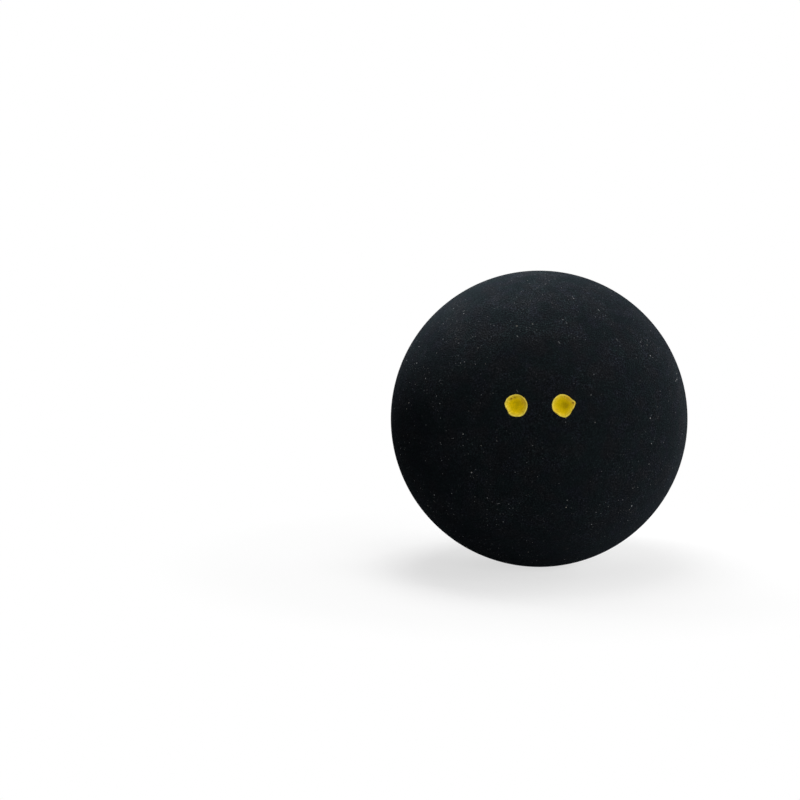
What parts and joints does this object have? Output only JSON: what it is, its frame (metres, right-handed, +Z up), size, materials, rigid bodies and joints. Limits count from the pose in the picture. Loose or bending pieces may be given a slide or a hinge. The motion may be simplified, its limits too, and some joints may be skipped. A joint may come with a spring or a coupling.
{
  "type": "squash ball",
  "caption": "Hollow matt-black rubber squash ball of glued half shells, with recessed yellow speed dots at one pole and a pale ink stamp at the other.",
  "frame": {"origin": "centre of the ball", "axes": "+Z up as the ball lies; the dotted pole faces -Y and looks 12 degrees up, and the stamp is opposite; X along the row of speed dots"},
  "size_m": [0.04, 0.04, 0.04],
  "materials": {
    "shell_rubber": "ground matt",
    "seam_glue": "satin",
    "dot_paint": "satin paint",
    "stamp_ink": "matt ink"
  },
  "bodies": {
    "root": {"dotted_half_shell": "shell_rubber", "printed_half_shell": "shell_rubber", "seam_adhesive": "seam_glue", "left_dot_paint": "dot_paint", "right_dot_paint": "dot_paint", "print_ring": "stamp_ink", "print_rays": "stamp_ink"}
  },
  "joints": []
}
